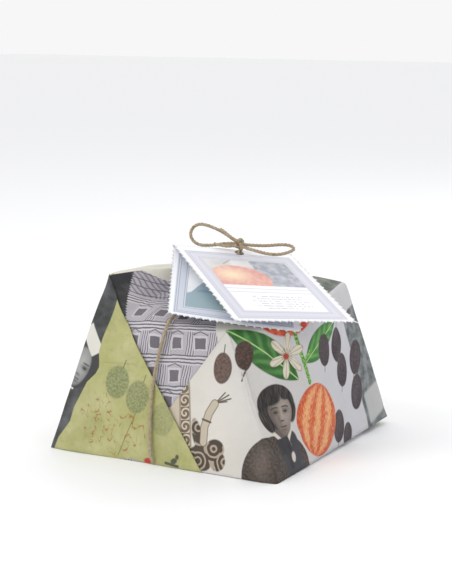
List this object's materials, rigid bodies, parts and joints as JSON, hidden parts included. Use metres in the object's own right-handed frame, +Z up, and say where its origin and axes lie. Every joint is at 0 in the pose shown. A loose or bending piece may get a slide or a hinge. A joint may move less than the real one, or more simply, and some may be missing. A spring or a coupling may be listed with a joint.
{
  "type": "gift-wrapped panettone",
  "caption": "Panettone loaf in its paper mould, folded into printed paper with pointed base corners, tied with jute twine in a bow over a folded leaflet.",
  "frame": {"origin": "middle of the base, on the surface it stands on", "axes": "+Z up, -Y towards the folded front with the two crossed flaps, +X to the right of that front"},
  "size_m": [0.272, 0.2472, 0.2047],
  "materials": {
    "printed_paper": "uncoated wrapping paper with a printed collage",
    "crust": "baked crust",
    "mould_paper": "brown fluted baking paper",
    "clear_film": "clear film",
    "tie_wire": "coated wire tie",
    "jute": "three-ply natural jute twine",
    "card": "smooth white card with printed border"
  },
  "bodies": {
    "root": {"wrapping_paper": "printed_paper", "panettone_loaf": "crust", "baking_mould": "mould_paper", "inner_bag": "clear_film", "bag_tie": "tie_wire", "twine_band": "jute", "twine_knot": "jute", "twine_loop_left": "jute", "twine_loop_right": "jute", "twine_tail_upper": "jute", "twine_tail_lower": "jute", "leaflet": "card"}
  },
  "joints": []
}
